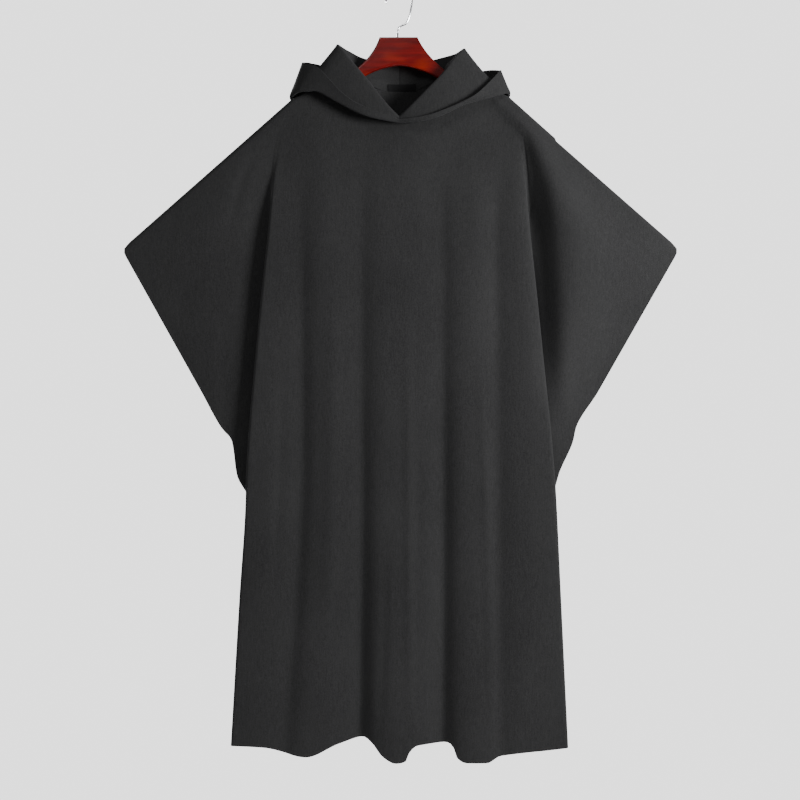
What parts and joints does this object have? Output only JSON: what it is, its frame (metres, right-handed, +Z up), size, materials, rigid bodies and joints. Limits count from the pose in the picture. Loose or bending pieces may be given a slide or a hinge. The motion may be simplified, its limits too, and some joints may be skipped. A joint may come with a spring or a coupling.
{
  "type": "hooded wool cloak on a clothes hanger",
  "caption": "Hooded cloak with wide open sides and a pushed-back hood, hung on a wooden hanger with a wire hook.",
  "frame": {"origin": "inner top of the hanger's hook, where a rail carries it", "axes": "+Z up, -Y out of the front of the cloak, +X to the right as seen from the front"},
  "size_m": [1.114, 0.116, 1.5465],
  "materials": {
    "wool": "brushed dark charcoal wool",
    "label": "bare black woven label",
    "wood": "red-brown stain under gloss lacquer",
    "chrome": "bright plated wire"
  },
  "bodies": {
    "root": {"front": "wool", "back": "wool", "hood_left": "wool", "hood_right": "wool", "neck_label": "label", "hanger_body": "wood", "hanger_hook": "chrome"}
  },
  "joints": []
}
